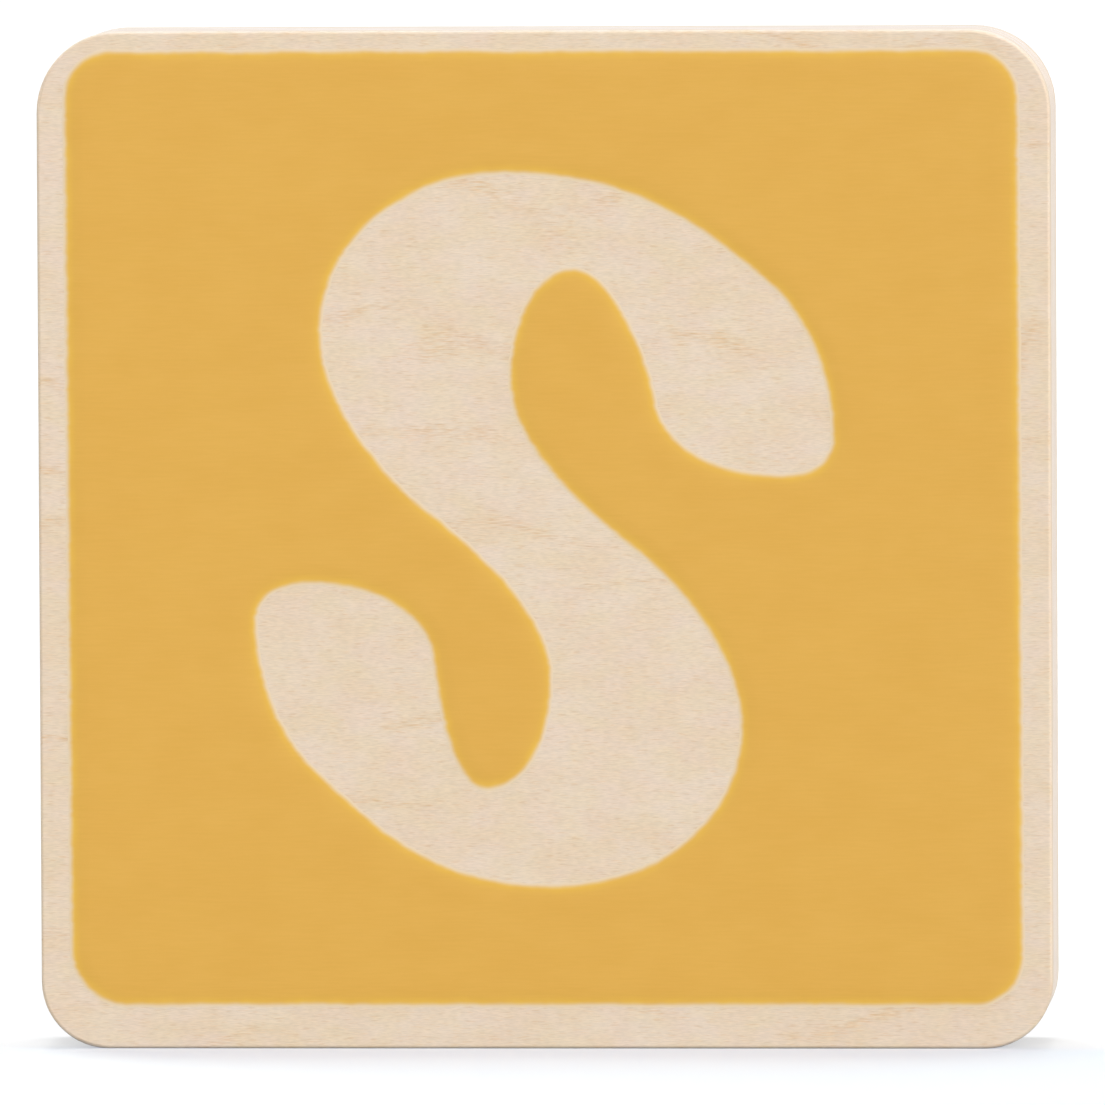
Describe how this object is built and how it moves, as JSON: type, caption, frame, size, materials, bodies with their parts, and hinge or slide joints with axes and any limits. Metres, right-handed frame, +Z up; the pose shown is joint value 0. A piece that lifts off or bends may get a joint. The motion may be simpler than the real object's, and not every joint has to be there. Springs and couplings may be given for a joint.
{
  "type": "letter tile",
  "caption": "Square plywood tile with rounded corners and a painted front panel that carries a letter of a wooden letter train; it stands on its bottom edge.",
  "frame": {"origin": "middle of the tile's footprint, on the surface that it stands on", "axes": "+X to the right as seen from the painted front, +Y from the front to the back, +Z up"},
  "size_m": [0.06, 0.009, 0.0603],
  "materials": {
    "face_wood": "sanded pale birch veneer, uncoated, grain across the tile",
    "core_wood": "sawn and sanded birch ply edge, grain across the tile",
    "cross_wood": "sawn and sanded birch ply edge, grain upright",
    "glue": "cured wood glue line",
    "paint": "matte mustard yellow printing paint"
  },
  "bodies": {
    "root": {"front_face_veneer": "face_wood", "front_crossband": "cross_wood", "front_inner_ply": "core_wood", "centre_ply": "cross_wood", "back_inner_ply": "core_wood", "back_crossband": "cross_wood", "back_face_veneer": "face_wood", "glue_line_1": "glue", "glue_line_2": "glue", "glue_line_3": "glue", "glue_line_4": "glue", "glue_line_5": "glue", "glue_line_6": "glue", "front_paint": "paint"}
  },
  "joints": []
}
